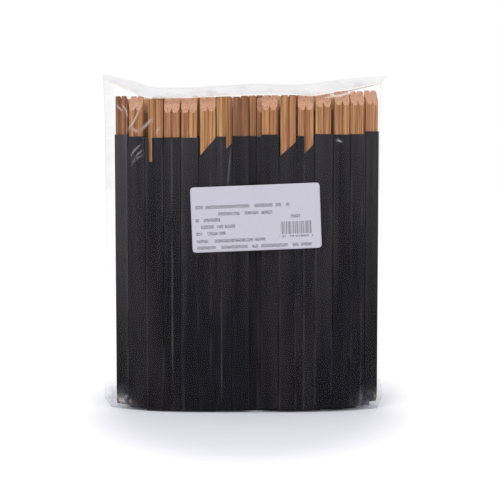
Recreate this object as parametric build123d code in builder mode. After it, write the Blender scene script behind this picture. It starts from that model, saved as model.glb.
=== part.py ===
from build123d import *

import os
from math import atan, copysign, cos, degrees, radians, sin

os.makedirs("parts", exist_ok=True)

# A sealed clear bag of one hundred pairs of bamboo chopsticks, each pair in its own half-length
# paper sleeve. The pack stands on its base, wide along X and shallow along Y, with the labelled
# face towards -Y. All lengths are in millimetres, and all angles are in degrees.

# One pair of chopsticks, still joined at the thick end
pair_length = 240.0
pair_width = 11.8
pair_thickness = 4.8
edge_bevel_width = 1.7
edge_bevel_depth = 1.2
groove_width = 2.6
groove_depth = 1.4
slit_width = 0.4
joined_length = 52.0
facet_height = 11.0
facet_land = 0.7
tip_width = 4.6
tip_thickness = 3.8
taper_length = 110.0

# Paper sleeve, closed at the bottom, with one long panel and one cut panel
paper = 0.1
sleeve_play = 0.1
bare_length = 28.5
cut_drop = 14.0

# Lens-shaped plan of the bundle: front and back rows follow its curve, inner rows lie straight
bulge_gap = 1.5
end_core = 2.3
end_columns = 7.9
curve_power = 4
side_gap = 0.2
row_gap = 0.3
curve_gap = 0.9
inner_counts = (9, 12, 14, 14, 12, 9)
inner_shifts = (0.2, -0.4, -1.0, 0.6, 0.4, -0.2)
back_count = 15

# Front row, from left to right: place in sleeve widths, height of the sticks and of the sleeve
# above the base, whether the bevelled end looks forward, and the cut in the sleeve's front panel
# as (from, to, depth at from, depth at to), its places as shares of the panel from the left
front_row = [
    (-8.11, 3.4, 2.6, False, None),
    (-7.14, 3.2, 1.0, True, None),
    (-5.85, 0.2, 0.0, False, (0.04, 0.3, 18.5, 18.5)),
    (-4.80, 1.2, 0.2, True, None),
    (-3.70, 1.2, 0.0, True, None),
    (-2.53, 2.4, 0.0, True, (0.0, 1.0, 15.0, 0.0)),
    (-1.49, 2.4, 0.8, False, (0.61, 1.0, 9.5, 4.8)),
    (-0.47, 2.2, 1.2, False, None),
    (1.34, 3.2, 2.3, True, None),
    (2.51, 3.4, 0.8, False, (0.0, 1.0, 15.5, 3.5)),
    (3.60, 3.2, 1.2, True, (0.41, 1.0, 13.5, 5.8)),
    (4.72, 5.5, 2.7, True, None),
    (5.92, 7.0, 2.4, True, None),
    (6.94, 7.0, 2.7, True, None),
    (7.90, 7.8, 5.0, True, None),
]

# Heights of the hidden rows: a slope along the pack with a small ripple
lift_slope = 0.016
lift_ripple = 1.1
ripple_turn = 4.1
ripple_row_turn = 4.8
sleeve_lift_share = 0.4

# Clear bag of thin film, with welded side seams and a flat top seam between two ears. The top
# edge is given as shares of the bundle's half width and heights over the pair's own length.
film = 0.2
film_gap = 0.4
seam_film = 0.4
eaves_rise = 6.5
roof_rise = 13.0
ear_rise = 18.0
ear_reach = 8.4
left_seam_reach = 6.4
right_seam_reach = 1.9
top_edge = [(-0.95, 11.0), (-0.58, 7.5), (0.0, 10.0), (0.58, 11.5), (0.93, 12.5)]
ear_depth = 30.0
seam_corner = 6.0

# Paper label stuck on the front film
label_width = 99.0
label_height = 50.0
label_paper = 0.1
label_corner = 2.5
label_x = 6.0
label_z = 151.0
label_tilt = 2.3
glue_gap = 0.05

# Worked-out sizes
sleeve_width = pair_width + 2 * (sleeve_play + paper)
sleeve_thickness = pair_thickness + 2 * (sleeve_play + paper)
sleeve_length = pair_length - bare_length
column_pitch = sleeve_width + side_gap
row_pitch = sleeve_thickness + row_gap
row_count = len(inner_counts) + 2
middle_half_depth = row_count / 2 * row_pitch + bulge_gap
end_half_depth = sleeve_thickness + end_core
end_x = end_columns * column_pitch
half_width = end_x + sleeve_width / 2
base_z = film + film_gap
pair_seat = paper + sleeve_play


def half_depth(x):
    """Half depth of the lens-shaped plan at a place along the pack."""
    share = (abs(x) / end_x) ** curve_power
    return middle_half_depth - (middle_half_depth - end_half_depth) * share


def curve_turn(x):
    """Turn of a sleeve that lies against the front curve at a place along the pack."""
    fall = curve_power * (middle_half_depth - end_half_depth) / end_x
    return degrees(atan(copysign(fall * (abs(x) / end_x) ** (curve_power - 1), x)))


def curve_place(x, z, side):
    """Location of a sleeve whose outer face touches the front (-1) or back (1) curve."""
    turn = -side * curve_turn(x)
    inward = sleeve_thickness / 2
    y = side * (half_depth(x) - inward * cos(radians(turn)))
    shift = -side * inward * sin(radians(turn))
    return Location((x - abs(shift) * copysign(1, x), y, z), (0, 0, turn))


def ripple_lift(row, index, x):
    """Height of a hidden pair above the base."""
    wave = lift_ripple * sin(ripple_row_turn * row + ripple_turn * index)
    return lift_ripple + lift_slope * (x + end_x) + wave


def turned(place, half_turn):
    """The same location, with the piece faced about when half_turn is set."""
    return place * Location((0, 0, 0), (0, 0, 180)) if half_turn else place


def make_pair():
    """A pair of chopsticks with its tips down, its bevelled ends towards -Y."""
    with BuildPart() as pair:
        # one quarter of the section: bevelled outer edge, flat face and half of the V groove
        with BuildSketch():
            with BuildLine():
                Polyline(
                    (0, 0),
                    (pair_width / 2, 0),
                    (pair_width / 2, pair_thickness / 2 - edge_bevel_depth),
                    (pair_width / 2 - edge_bevel_width, pair_thickness / 2),
                    (groove_width / 2, pair_thickness / 2),
                    (0, pair_thickness / 2 - groove_depth),
                    close=True,
                )
            make_face()
            mirror(about=Plane.YZ)
            mirror(about=Plane.XZ)
        extrude(amount=pair_length)
        # slit from the tips to the joined end
        with BuildSketch():
            Rectangle(slit_width, pair_thickness)
        extrude(amount=pair_length - joined_length, mode=Mode.SUBTRACT)
        # slanted cut at the thick end
        with BuildSketch(Plane.YZ):
            with BuildLine():
                Polyline(
                    (-pair_thickness / 2, pair_length - facet_height),
                    (pair_thickness / 2 - facet_land, pair_length),
                    (-pair_thickness / 2, pair_length),
                    close=True,
                )
            make_face()
        extrude(amount=pair_width, both=True, mode=Mode.SUBTRACT)
        # the outer sides close in towards the tips
        narrowing = (pair_width - slit_width) / 2 - tip_width
        with BuildSketch(Plane.XZ):
            for side in (-1, 1):
                with BuildLine():
                    Polyline(
                        (side * pair_width / 2, 0),
                        (side * pair_width / 2, taper_length),
                        (side * (pair_width / 2 - narrowing), 0),
                        close=True,
                    )
                make_face()
        extrude(amount=pair_thickness, both=True, mode=Mode.SUBTRACT)
        # and so do the faces
        thinning = (pair_thickness - tip_thickness) / 2
        with BuildSketch(Plane.YZ):
            for side in (-1, 1):
                with BuildLine():
                    Polyline(
                        (side * pair_thickness / 2, 0),
                        (side * pair_thickness / 2, taper_length),
                        (side * (pair_thickness / 2 - thinning), 0),
                        close=True,
                    )
                make_face()
        extrude(amount=pair_width, both=True, mode=Mode.SUBTRACT)
    return pair.part


def make_sleeve(cut):
    """A paper sleeve, with a cut in its front panel given from the panel's left edge."""
    with BuildPart() as sleeve:
        with BuildSketch():
            Rectangle(sleeve_width, sleeve_thickness)
        extrude(amount=sleeve_length)
        with BuildSketch(Plane.XY.offset(paper)):
            Rectangle(sleeve_width - 2 * paper, sleeve_thickness - 2 * paper)
        extrude(amount=sleeve_length, mode=Mode.SUBTRACT)
        if cut:
            start, stop = [(share - 0.5) * sleeve_width for share in cut[:2]]
            start_depth, stop_depth = cut[2:]
            over = sleeve_length + paper
            with BuildSketch(Plane.XZ):
                with BuildLine():
                    Polyline(
                        (start, over),
                        (start, sleeve_length - start_depth),
                        (stop, sleeve_length - stop_depth),
                        (stop, over),
                        close=True,
                    )
                make_face()
            extrude(amount=sleeve_thickness, mode=Mode.SUBTRACT)
    return sleeve.part


def fill_row(piece, places):
    """Copies of one piece, gathered as a row."""
    with BuildPart() as row:
        with Locations(*places):
            add(piece)
    return row.part


def write(part, name):
    """Label a finished piece and write it."""
    part.label = name
    export_step(part, f"parts/{name}.step")


pair_piece = make_pair()
diagonal = (0.0, 1.0, cut_drop, 0.0)
sleeve_piece = make_sleeve(diagonal)
outline_places = []

# Front row: one node for each pair and for each sleeve
for number, (column, lift, sleeve_lift, facet_front, cut) in enumerate(front_row, 1):
    x = column * sleeve_width
    place = curve_place(x, base_z + sleeve_lift, -1)
    outline_places.append(curve_place(x, 0, -1))
    shape = make_sleeve(cut) if cut else sleeve_piece
    with BuildPart() as front_sleeve:
        with Locations(turned(place, not cut)):
            add(shape)
    write(front_sleeve.part, f"sleeve_front_{number:02d}")
    seat = curve_place(x, base_z + pair_seat + max(lift, sleeve_lift), -1)
    with BuildPart() as front_pair:
        with Locations(turned(seat, not facet_front)):
            add(pair_piece)
    write(front_pair.part, f"chopsticks_front_{number:02d}")

# Inner rows lie straight, and the last row follows the back curve
rows = []
for row, (count, shift) in enumerate(zip(inner_counts, inner_shifts), 2):
    y = (row - (row_count + 1) / 2) * row_pitch
    xs = [(i - (count - 1) / 2) * column_pitch + shift for i in range(count)]
    rows.append((row, [(x, Location((x, y, 0))) for x in xs]))
back_pitch = sleeve_width + curve_gap
back_xs = [(i - (back_count - 1) / 2) * back_pitch for i in range(back_count)]
back_places = [(x, curve_place(x, 0, 1)) for x in back_xs]
rows.append((row_count, back_places))
outline_places += [place for x, place in back_places]

for row, members in rows:
    pair_places = []
    sleeve_places = []
    for index, (x, place) in enumerate(members):
        lift = ripple_lift(row, index, x)
        faced = (row + index) % 3 == 0
        sleeve_z = base_z + sleeve_lift_share * lift
        sleeve_places.append(turned(Pos(0, 0, sleeve_z) * place, (row + index) % 2 == 0))
        pair_places.append(turned(Pos(0, 0, base_z + pair_seat + lift) * place, faced))
    write(fill_row(sleeve_piece, sleeve_places), f"sleeves_row_{row}")
    write(fill_row(pair_piece, pair_places), f"chopsticks_row_{row}")


def make_block(margin, bottom):
    """An upright block around the whole bundle, a margin outside its sleeves."""
    with BuildPart() as block:
        with BuildSketch(Plane.XY.offset(bottom)):
            with Locations(*outline_places):
                Rectangle(sleeve_width, sleeve_thickness)
            make_hull()
            offset(amount=margin)
        extrude(amount=pair_length + roof_rise - bottom)
    return block.part


def top_line(inset):
    """Corners of the bag's top edge, from ear to ear."""
    middle = [(share * half_width, pair_length + rise - inset) for share, rise in top_edge]
    ear_x = half_width + ear_reach
    ear_z = pair_length + ear_rise - inset
    return [(-ear_x, ear_z), *middle, (ear_x, ear_z)]


def make_body(margin, inset):
    """The filled body of the bag, closed to a ridge over the sticks."""
    depth = middle_half_depth + margin
    eaves = pair_length + eaves_rise - inset
    ridge = pair_length + roof_rise - inset
    with BuildPart() as body:
        add(make_block(margin, inset))
        with BuildSketch(Plane.YZ):
            with BuildLine():
                Polyline((-depth, 0), (-depth, eaves), (0, ridge), (depth, eaves), (depth, 0), close=True)
            make_face()
        extrude(amount=half_width + ear_reach, both=True, mode=Mode.INTERSECT)
        with BuildSketch(Plane.XZ):
            with BuildLine():
                Polyline(
                    (-half_width - ear_reach, 0),
                    *top_line(inset),
                    (half_width + ear_reach, 0),
                    close=True,
                )
            make_face()
        extrude(amount=depth, both=True, mode=Mode.INTERSECT)
    return body.part


# Clear bag: the body, a flat web that stands for the welded seams, and the hollow inside
body_piece = make_body(film_gap + film, 0)
cavity_piece = make_body(film_gap, film)
left_seam_x = -half_width - left_seam_reach
right_seam_x = half_width + right_seam_reach
ear_foot_z = pair_length + ear_rise - ear_depth
with BuildPart() as bag:
    add(body_piece)
    with BuildSketch(Plane.XZ):
        with BuildLine():
            Polyline(
                *top_line(0),
                (right_seam_x, ear_foot_z),
                (right_seam_x, seam_corner),
                (right_seam_x - seam_corner, 0),
                (left_seam_x + seam_corner, 0),
                (left_seam_x, seam_corner),
                (left_seam_x, ear_foot_z),
                close=True,
            )
        make_face()
    extrude(amount=seam_film / 2, both=True)
    add(cavity_piece, mode=Mode.SUBTRACT)
write(bag.part, "bag")

# Label: a band outside the film, trimmed to a rounded sheet
label_margin = film_gap + film + glue_gap
label_face = make_block(label_margin + label_paper, 0)
label_back = make_block(label_margin, 0)
with BuildPart() as label:
    add(label_face)
    add(label_back, mode=Mode.SUBTRACT)
    with BuildSketch(Plane.XZ):
        with Locations((label_x, label_z)):
            RectangleRounded(label_width, label_height, label_corner, rotation=label_tilt)
    extrude(amount=2 * middle_half_depth, mode=Mode.INTERSECT)
write(label.part, "label")
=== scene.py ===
"""A sealed clear bag of bamboo chopsticks in black paper sleeves, dressed around its fixed frame."""

from __future__ import annotations

import logging
import math
import random
from dataclasses import dataclass, field, replace
from enum import Enum

import bmesh
import bpy
from mathutils import Matrix, Vector, geometry, noise


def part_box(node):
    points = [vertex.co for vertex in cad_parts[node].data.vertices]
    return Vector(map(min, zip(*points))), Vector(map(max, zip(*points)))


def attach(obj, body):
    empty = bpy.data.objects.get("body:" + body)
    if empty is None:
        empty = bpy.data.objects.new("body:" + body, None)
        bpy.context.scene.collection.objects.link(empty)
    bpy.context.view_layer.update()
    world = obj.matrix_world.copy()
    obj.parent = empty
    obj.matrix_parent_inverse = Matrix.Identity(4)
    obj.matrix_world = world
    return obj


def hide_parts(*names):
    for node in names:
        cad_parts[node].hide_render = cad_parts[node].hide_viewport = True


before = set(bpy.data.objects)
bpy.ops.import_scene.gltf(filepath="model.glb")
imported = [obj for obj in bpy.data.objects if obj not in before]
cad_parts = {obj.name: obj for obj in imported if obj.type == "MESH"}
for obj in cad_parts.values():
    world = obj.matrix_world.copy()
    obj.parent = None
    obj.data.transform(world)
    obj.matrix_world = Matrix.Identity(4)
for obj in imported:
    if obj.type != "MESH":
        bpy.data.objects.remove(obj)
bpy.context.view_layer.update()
LOG = logging.getLogger("chopstick_pack")
MM = 0.001
Colour = tuple[float, float, float, float]
Area = tuple[float, float, float, float]
Line = tuple[tuple[float, float], ...]
Socket = bpy.types.NodeSocket


class Node(Enum):
    """Shader node types that the finishes are wired from."""

    PRINCIPLED = "ShaderNodeBsdfPrincipled"
    TRANSPARENT = "ShaderNodeBsdfTransparent"
    EMISSION = "ShaderNodeEmission"
    MIX_SHADER = "ShaderNodeMixShader"
    ADD_SHADER = "ShaderNodeAddShader"
    OUTPUT = "ShaderNodeOutputMaterial"
    COORDS = "ShaderNodeTexCoord"
    GEOMETRY = "ShaderNodeNewGeometry"
    SEPARATE = "ShaderNodeSeparateXYZ"
    COMBINE = "ShaderNodeCombineXYZ"
    MAPPING = "ShaderNodeMapping"
    NOISE = "ShaderNodeTexNoise"
    MATH = "ShaderNodeMath"
    RANGE = "ShaderNodeMapRange"
    MIX = "ShaderNodeMix"
    BUMP = "ShaderNodeBump"
    FACING = "ShaderNodeLayerWeight"
    ATTRIBUTE = "ShaderNodeAttribute"
    LIGHT_PATH = "ShaderNodeLightPath"
    GROUP = "ShaderNodeGroup"


@dataclass
class Wiring:
    """Places and links the nodes of one tree."""

    tree: bpy.types.NodeTree
    placed: int = 0

    def add(self, kind: Node, **settings: object) -> bpy.types.Node:
        """Place one node.

        Args:
            kind: The node's type.
            settings: Attributes of the node, or socket values keyed by socket name with
                spaces written as underscores.

        Returns:
            The node.
        """
        node = self.tree.nodes.new(kind.value)
        node.location = (180 * (self.placed % 12), -220 * (self.placed // 12))
        self.placed += 1
        for name, value in settings.items():
            if hasattr(node, name):
                setattr(node, name, value)
            else:
                node.inputs[name.replace("_", " ")].default_value = value
        return node

    def link(self, source: Socket, target: Socket) -> None:
        """Join two sockets."""
        self.tree.links.new(source, target)

    def math(self, operation: str, *terms: object) -> Socket:
        """A Math node over sockets or numbers.

        Args:
            operation: The node's operation.
            terms: Its inputs in order.

        Returns:
            The output socket.
        """
        node = self.add(Node.MATH, operation=operation)
        for socket, term in zip(node.inputs, terms):
            if isinstance(term, Socket):
                self.link(term, socket)
            else:
                socket.default_value = term
        return node.outputs[0]

    def blend(self, factor: object, low: object, high: object) -> Socket:
        """A colour Mix node.

        Args:
            factor: Share of the second colour.
            low: First colour, a socket or four numbers.
            high: Second colour, a socket or four numbers.

        Returns:
            The colour output.
        """
        node = self.add(Node.MIX, data_type="RGBA")
        for socket, term in zip((node.inputs[0], node.inputs[6], node.inputs[7]), (factor, low, high)):
            if isinstance(term, Socket):
                self.link(term, socket)
            else:
                socket.default_value = term
        return node.outputs[2]

    def spread(self, value: Socket, low: float, high: float, to_low: float = 0.0,
               to_high: float = 1.0, smooth: bool = False) -> Socket:
        """A clamped Map Range node.

        Args:
            value: Socket to map.
            low: Input that gives to_low.
            high: Input that gives to_high.
            to_low: Output at low.
            to_high: Output at high.
            smooth: Whether the slope eases in and out.

        Returns:
            The result socket.
        """
        node = self.add(Node.RANGE, interpolation_type="SMOOTHSTEP" if smooth else "LINEAR")
        self.link(value, node.inputs["Value"])
        for name, number in (("From Min", low), ("From Max", high), ("To Min", to_low), ("To Max", to_high)):
            node.inputs[name].default_value = number
        return node.outputs["Result"]

    def mask_sum(self, mask: Socket, others: Socket | None) -> Socket:
        """The larger of two masks, or the first alone."""
        return self.math("MAXIMUM", mask, others) if others else mask

    def surface(self, output: bpy.types.Node, colour: Socket, bump: bpy.types.Node, roughness: float,
                specular: float) -> None:
        """Finish a matt material with one Principled shader.

        Args:
            output: The material's output node.
            colour: Its colour.
            bump: The Bump node that gives its normal.
            roughness: The shader's roughness.
            specular: The shader's specular level.
        """
        shader = self.add(Node.PRINCIPLED, Roughness=roughness)
        shader.inputs["Specular IOR Level"].default_value = specular
        self.link(colour, shader.inputs["Base Color"])
        self.link(bump.outputs[0], shader.inputs["Normal"])
        self.link(shader.outputs[0], output.inputs["Surface"])

    def streaks(self, vector: Socket, scale: tuple[float, float, float],
                detail: float = 2.0) -> Socket:
        """Noise stretched along the axes.

        Args:
            vector: Coordinates in metres.
            scale: Repeats per metre along each axis.
            detail: Octaves of the noise.

        Returns:
            The noise value.
        """
        mapping = self.add(Node.MAPPING)
        mapping.inputs["Scale"].default_value = scale
        self.link(vector, mapping.inputs["Vector"])
        texture = self.add(Node.NOISE, Scale=1.0, Detail=detail)
        self.link(mapping.outputs[0], texture.inputs["Vector"])
        return texture.outputs["Fac"]


def new_material(name: str) -> tuple[bpy.types.Material, Wiring, bpy.types.Node]:
    """Start a node material.

    Args:
        name: The material's name.

    Returns:
        The material, its wiring and its output node.
    """
    material = bpy.data.materials.new(name)
    material.use_nodes = True
    material.node_tree.nodes.clear()
    wiring = Wiring(material.node_tree)
    return material, wiring, wiring.add(Node.OUTPUT)


@dataclass(frozen=True)
class FibreGroup:
    """Node group that runs fine fibres up a piece, used by bamboo and by paper."""

    name: str = "upright_fibres"

    def build(self) -> bpy.types.NodeTree:
        """Make the group once.

        Returns:
            The node group, with a Fibre value and a Height for bump.
        """
        if self.name in bpy.data.node_groups:
            return bpy.data.node_groups[self.name]
        group = bpy.data.node_groups.new(self.name, "ShaderNodeTree")
        sockets = group.interface
        inputs = (("Vector", "NodeSocketVector", None), ("Across", "NodeSocketFloat", 900.0),
                  ("Along", "NodeSocketFloat", 14.0))
        for label, kind, default in inputs:
            socket = sockets.new_socket(label, in_out="INPUT", socket_type=kind)
            if default is not None:
                socket.default_value = default
        for label in ("Fibre", "Height"):
            sockets.new_socket(label, in_out="OUTPUT", socket_type="NodeSocketFloat")
        wiring = Wiring(group)
        source = group.nodes.new("NodeGroupInput")
        target = group.nodes.new("NodeGroupOutput")
        parts = wiring.add(Node.SEPARATE)
        wiring.link(source.outputs["Vector"], parts.inputs[0])
        scaled = wiring.add(Node.COMBINE)
        for axis, density in enumerate(("Across", "Across", "Along")):
            product = wiring.math("MULTIPLY", parts.outputs[axis], source.outputs[density])
            wiring.link(product, scaled.inputs[axis])
        coarse = wiring.add(Node.NOISE, Scale=1.0, Detail=3.0)
        wiring.link(scaled.outputs[0], coarse.inputs["Vector"])
        fine = wiring.add(Node.NOISE, Scale=2.7, Detail=1.0)
        wiring.link(scaled.outputs[0], fine.inputs["Vector"])
        mixed = wiring.math("ADD", wiring.math("MULTIPLY", coarse.outputs["Fac"], 0.6),
                            wiring.math("MULTIPLY", fine.outputs["Fac"], 0.4))
        wiring.link(mixed, target.inputs["Fibre"])
        wiring.link(fine.outputs["Fac"], target.inputs["Height"])
        return group


class Heat(Enum):
    """How far a pair was browned, with its pale, middle and dark tones."""

    EVEN = ((0.66, 0.350, 0.150, 1.0), (0.47, 0.225, 0.094, 1.0), (0.180, 0.070, 0.029, 1.0))
    PALE = ((0.62, 0.345, 0.135, 1.0), (0.38, 0.180, 0.068, 1.0), (0.170, 0.067, 0.027, 1.0))
    RUDDY = ((0.40, 0.190, 0.090, 1.0), (0.27, 0.112, 0.052, 1.0), (0.110, 0.042, 0.022, 1.0))


@dataclass(frozen=True)
class BambooFinish:
    """Heat-browned bamboo: caramel with dark upright fibres, pinker and speckled on cut ends."""

    heat: Heat = Heat.EVEN
    cut_end: Colour = (0.62, 0.345, 0.215, 1.0)
    speck: Colour = (0.33, 0.135, 0.072, 1.0)
    top_edge: Colour = (0.30, 0.125, 0.075, 1.0)
    red_tone: Colour = (0.37, 0.150, 0.078, 1.0)
    fibres_across: float = 950.0
    fibres_along: float = 13.0
    roughness: float = 0.6
    specular: float = 0.25

    def build(self) -> bpy.types.Material:
        """Wire the finish.

        Returns:
            The material.
        """
        light, middle, dark = self.heat.value
        material, wiring, output = new_material(f"bamboo_{self.heat.name.lower()}")
        coords = wiring.add(Node.COORDS).outputs["Object"]
        fibres = wiring.add(Node.GROUP, node_tree=FibreGroup().build())
        wiring.link(coords, fibres.inputs["Vector"])
        fibres.inputs["Across"].default_value = self.fibres_across
        fibres.inputs["Along"].default_value = self.fibres_along
        strip = wiring.streaks(coords, (330.0, 330.0, 3.0), 1.0)
        body = wiring.blend(wiring.spread(strip, 0.38, 0.60), middle, light)
        redness = wiring.streaks(coords, (75.0, 75.0, 2.0), 0.0)
        body = wiring.blend(wiring.spread(redness, 0.50, 0.68, 0.0, 0.55), body, self.red_tone)
        body = wiring.blend(wiring.spread(fibres.outputs["Fibre"], 0.40, 0.57, 0.90, 0.0), body, dark)
        slopes = wiring.add(Node.SEPARATE)
        wiring.link(wiring.add(Node.GEOMETRY).outputs["True Normal"], slopes.inputs[0])
        upward = wiring.math("ABSOLUTE", slopes.outputs[2])
        dots = wiring.streaks(coords, (1500.0, 1500.0, 900.0), 1.0)
        end = wiring.blend(wiring.spread(dots, 0.50, 0.64, 0.0, 0.75), self.cut_end, self.speck)
        colour = wiring.blend(wiring.spread(upward, 0.15, 0.25), body, end)
        colour = wiring.blend(wiring.spread(upward, 0.80, 0.90), colour, self.top_edge)
        bump = wiring.add(Node.BUMP, Strength=0.5, Distance=0.0003)
        wiring.link(fibres.outputs["Height"], bump.inputs["Height"])
        wiring.surface(output, colour, bump, self.roughness, self.specular)
        return material


@dataclass(frozen=True)
class PaperFinish:
    """Black sleeve paper: matt charcoal, with soft upright bands, fine fibres, paler folds and painted light
    from above that darkens it towards the foot.

    The fold attribute makes folded edges, seams and cut tops paler, and a dark line where it is below zero.
    The shade attribute sets one sleeve apart from the next, and fades towards the foot as painted light.
    """

    name: str = "black_paper"
    deep: Colour = (0.0032, 0.0030, 0.0045, 1.0)
    pale: Colour = (0.0740, 0.0690, 0.0800, 1.0)
    warm: Colour = (0.0300, 0.0220, 0.0245, 1.0)
    paler_fold: Colour = (0.095, 0.092, 0.102, 1.0)
    fibres_across: float = 1100.0
    fibres_along: float = 240.0
    painted_light_height: float = 0.21
    painted_light_low: float = -0.52
    painted_light_high: float = 0.16
    roughness: float = 0.66
    specular: float = 0.09

    def build(self) -> bpy.types.Material:
        """Wire the finish.

        Returns:
            The material.
        """
        material, wiring, output = new_material(self.name)
        coords = wiring.add(Node.COORDS).outputs["Object"]
        fibres = wiring.add(Node.GROUP, node_tree=FibreGroup().build())
        wiring.link(coords, fibres.inputs["Vector"])
        fibres.inputs["Across"].default_value = self.fibres_across
        fibres.inputs["Along"].default_value = self.fibres_along
        band = wiring.streaks(coords, (150.0, 150.0, 5.0), 2.0)
        shade = wiring.add(Node.ATTRIBUTE, attribute_name="shade").outputs["Fac"]
        height = wiring.add(Node.SEPARATE)
        wiring.link(coords, height.inputs[0])
        # Painted light from above: the paper is darker towards the foot and paler towards the top.
        lit = wiring.spread(height.outputs[2], 0.0, self.painted_light_height, self.painted_light_low, self.painted_light_high)
        level = wiring.math("ADD", wiring.math("ADD", wiring.spread(band, 0.30, 0.70, 0.0, 0.45), shade), lit)
        colour = wiring.blend(wiring.spread(level, 0.0, 2.0), self.deep, self.pale)
        tint = wiring.streaks(coords, (55.0, 55.0, 7.0), 1.0)
        colour = wiring.blend(wiring.spread(tint, 0.50, 0.66, 0.0, 0.35), colour, self.warm)
        # Paler in patches along folded edges, seams and cut tops.
        fold = wiring.add(Node.ATTRIBUTE, attribute_name="fold").outputs["Fac"]
        fold_patches = wiring.streaks(coords, (160.0, 160.0, 30.0), 2.0)
        fold_paling = wiring.math("MULTIPLY", fold, wiring.spread(fold_patches, 0.42, 0.62))
        colour = wiring.blend(wiring.math("MULTIPLY", fold_paling, 0.50), colour, self.paler_fold)
        below = wiring.math("MAXIMUM", wiring.math("MULTIPLY", fold, -1.0), 0.0)
        shadowed = wiring.math("MULTIPLY", below, 0.9)
        colour = wiring.blend(shadowed, colour, self.deep)
        bump = wiring.add(Node.BUMP, Strength=0.04, Distance=0.0001)
        wiring.link(fibres.outputs["Height"], bump.inputs["Height"])
        wiring.surface(output, colour, bump, self.roughness, self.specular)
        return material


@dataclass(frozen=True)
class FilmFinish:
    """Clear film: nearly unseen face on, a grey veil where it is creased or steep, with gleams painted as
    highlights.

    The haze attribute is the veil's cover, and the gleam attribute marks painted highlights along folded
    lines.
    """

    name: str = "clear_film"
    veil: Colour = (0.60, 0.60, 0.67, 1.0)
    tan: Colour = (0.86, 0.76, 0.68, 1.0)
    white: Colour = (1.0, 1.0, 1.0, 1.0)
    face_share: float = 0.007
    edge_share: float = 0.40
    edge_power: float = 3.0
    most: float = 0.97

    def build(self) -> bpy.types.Material:
        """Wire the finish.

        Returns:
            The material.
        """
        material, wiring, output = new_material(self.name)
        coords = wiring.add(Node.COORDS).outputs["Object"]
        haze = wiring.add(Node.ATTRIBUTE, attribute_name="haze").outputs["Fac"]
        gleam = wiring.add(Node.ATTRIBUTE, attribute_name="gleam").outputs["Fac"]
        smudge = wiring.streaks(coords, (55.0, 55.0, 110.0), 2.0)
        haze = wiring.math("MULTIPLY", haze, wiring.spread(smudge, 0.32, 0.66, 0.55, 1.45))
        facing = wiring.add(Node.FACING, Blend=0.5).outputs["Facing"]
        rim = wiring.math("MULTIPLY", wiring.math("POWER", facing, self.edge_power), self.edge_share)
        share = wiring.math("MAXIMUM", wiring.math("ADD", rim, self.face_share), haze)
        # Painted highlights cover the film where the gleam attribute is high.
        share = wiring.math("MINIMUM", wiring.math("MAXIMUM", share, gleam), self.most)
        ripple = wiring.streaks(coords, (60.0, 60.0, 26.0), 3.0)
        bump = wiring.add(Node.BUMP, Strength=0.6, Distance=0.001)
        wiring.link(ripple, bump.inputs["Height"])
        clear = wiring.add(Node.TRANSPARENT)
        shader = wiring.add(Node.PRINCIPLED, Roughness=0.3)
        # Painted highlights: tan where the gleam is faint, white where it is strong.
        tone = wiring.blend(wiring.spread(gleam, 0.05, 0.20), self.veil, self.tan)
        tone = wiring.blend(wiring.spread(gleam, 0.60, 0.80), tone, self.white)
        wiring.link(tone, shader.inputs["Base Color"])
        wiring.link(bump.outputs[0], shader.inputs["Normal"])
        mixed = wiring.add(Node.MIX_SHADER)
        wiring.link(share, mixed.inputs[0])
        wiring.link(clear.outputs[0], mixed.inputs[1])
        wiring.link(shader.outputs[0], mixed.inputs[2])
        wiring.link(mixed.outputs[0], output.inputs["Surface"])
        return material


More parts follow.
